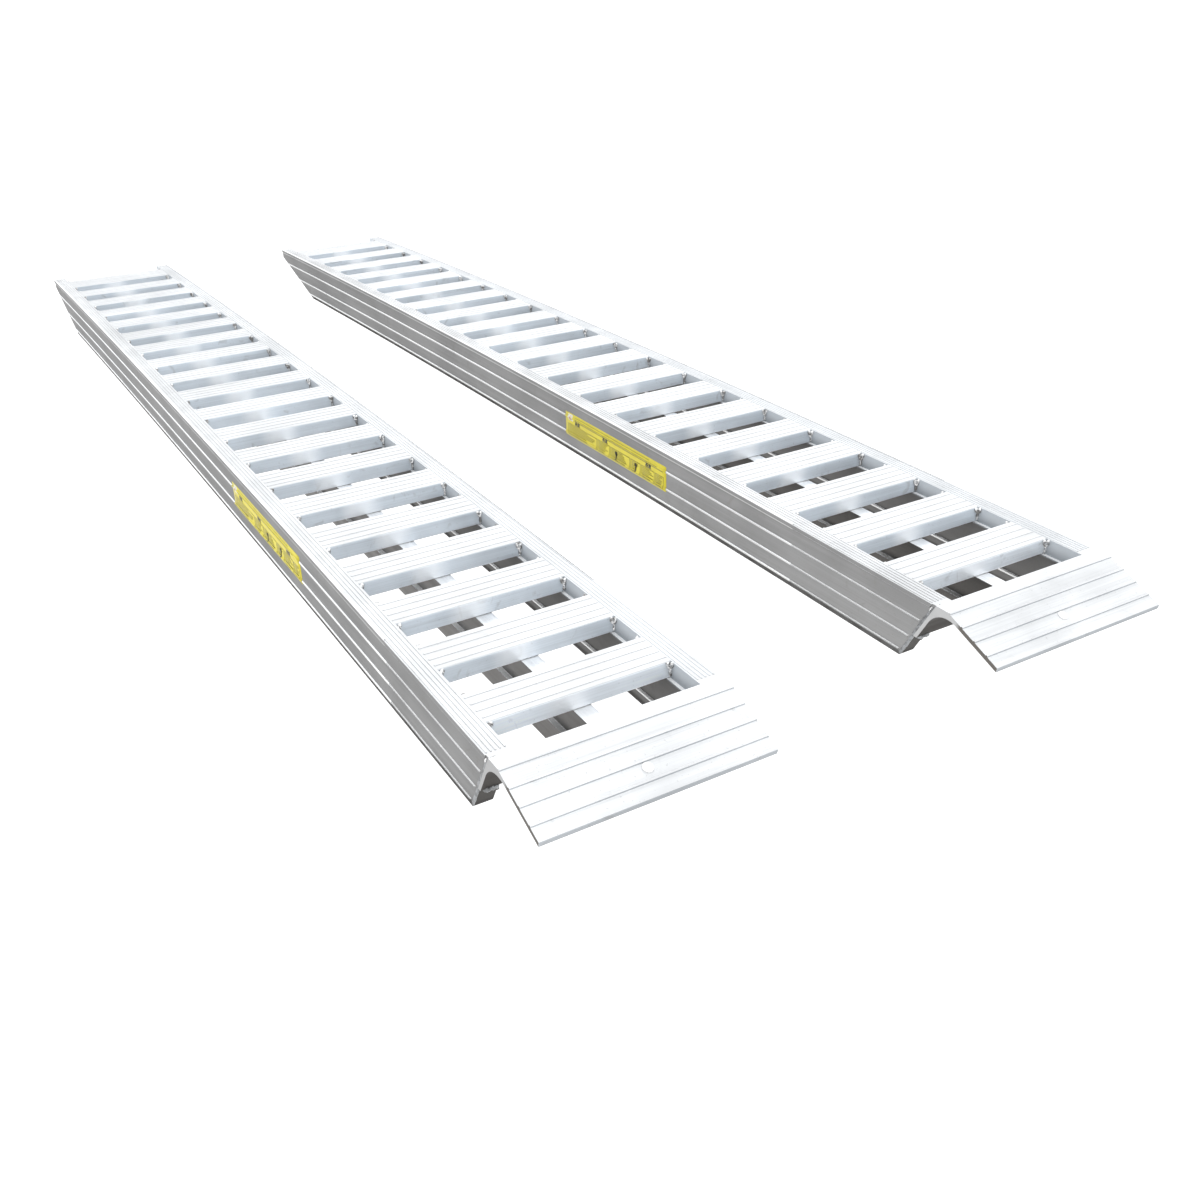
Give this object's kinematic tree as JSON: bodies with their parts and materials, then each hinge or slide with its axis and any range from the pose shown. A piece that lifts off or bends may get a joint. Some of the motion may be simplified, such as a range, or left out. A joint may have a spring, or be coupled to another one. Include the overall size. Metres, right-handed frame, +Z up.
{
  "type": "loading ramp pair",
  "caption": "Pair of ladder-type aluminium access ramps with box rungs, ridged side rails, a centre beam and a sloping hook lip that rests on a vehicle bed or step.",
  "frame": {"origin": "centre of the pair's bounding box, at the ground", "axes": "+X along the ramps towards the hook lips, +Y from the left ramp to the right ramp, +Z up"},
  "size_m": [3.5024, 1.1774, 0.1403],
  "materials": {
    "rail": "mill finish, drawn lengthwise, handling scuffs",
    "beam": "mill finish",
    "rung": "mill finish, fine ribs",
    "hook": "mill finish, fine anti-slip ribs",
    "pin": "turned, satin",
    "label": "printed vinyl film"
  },
  "bodies": {
    "left_ramp": {"left_ramp_left_rail": "rail", "left_ramp_right_rail": "rail", "left_ramp_centre_beam": "beam", "left_ramp_end_plank": "rung", "left_ramp_rung_01": "rung", "left_ramp_rung_02": "rung", "left_ramp_rung_03": "rung", "left_ramp_rung_04": "rung", "left_ramp_rung_05": "rung", "left_ramp_rung_06": "rung", "left_ramp_rung_07": "rung", "left_ramp_rung_08": "rung", "left_ramp_rung_09": "rung", "left_ramp_rung_10": "rung", "left_ramp_rung_11": "rung", "left_ramp_rung_12": "rung", "left_ramp_rung_13": "rung", "left_ramp_rung_14": "rung", "left_ramp_rung_15": "rung", "left_ramp_rung_16": "rung", "left_ramp_rung_17": "rung", "left_ramp_rung_18": "rung", "left_ramp_rung_19": "rung", "left_ramp_hook_lip": "hook", "left_ramp_locating_pin": "pin", "left_ramp_safety_label": "label"},
    "right_ramp": {"right_ramp_left_rail": "rail", "right_ramp_right_rail": "rail", "right_ramp_centre_beam": "beam", "right_ramp_end_plank": "rung", "right_ramp_rung_01": "rung", "right_ramp_rung_02": "rung", "right_ramp_rung_03": "rung", "right_ramp_rung_04": "rung", "right_ramp_rung_05": "rung", "right_ramp_rung_06": "rung", "right_ramp_rung_07": "rung", "right_ramp_rung_08": "rung", "right_ramp_rung_09": "rung", "right_ramp_rung_10": "rung", "right_ramp_rung_11": "rung", "right_ramp_rung_12": "rung", "right_ramp_rung_13": "rung", "right_ramp_rung_14": "rung", "right_ramp_rung_15": "rung", "right_ramp_rung_16": "rung", "right_ramp_rung_17": "rung", "right_ramp_rung_18": "rung", "right_ramp_rung_19": "rung", "right_ramp_hook_lip": "hook", "right_ramp_locating_pin": "pin", "right_ramp_safety_label": "label"}
  },
  "joints": [
    {"name": "ramp_spacing", "type": "slide", "parent": "left_ramp", "child": "right_ramp", "axis": [0, 1, 0], "range_m": [-0.4, 0.6]}
  ]
}
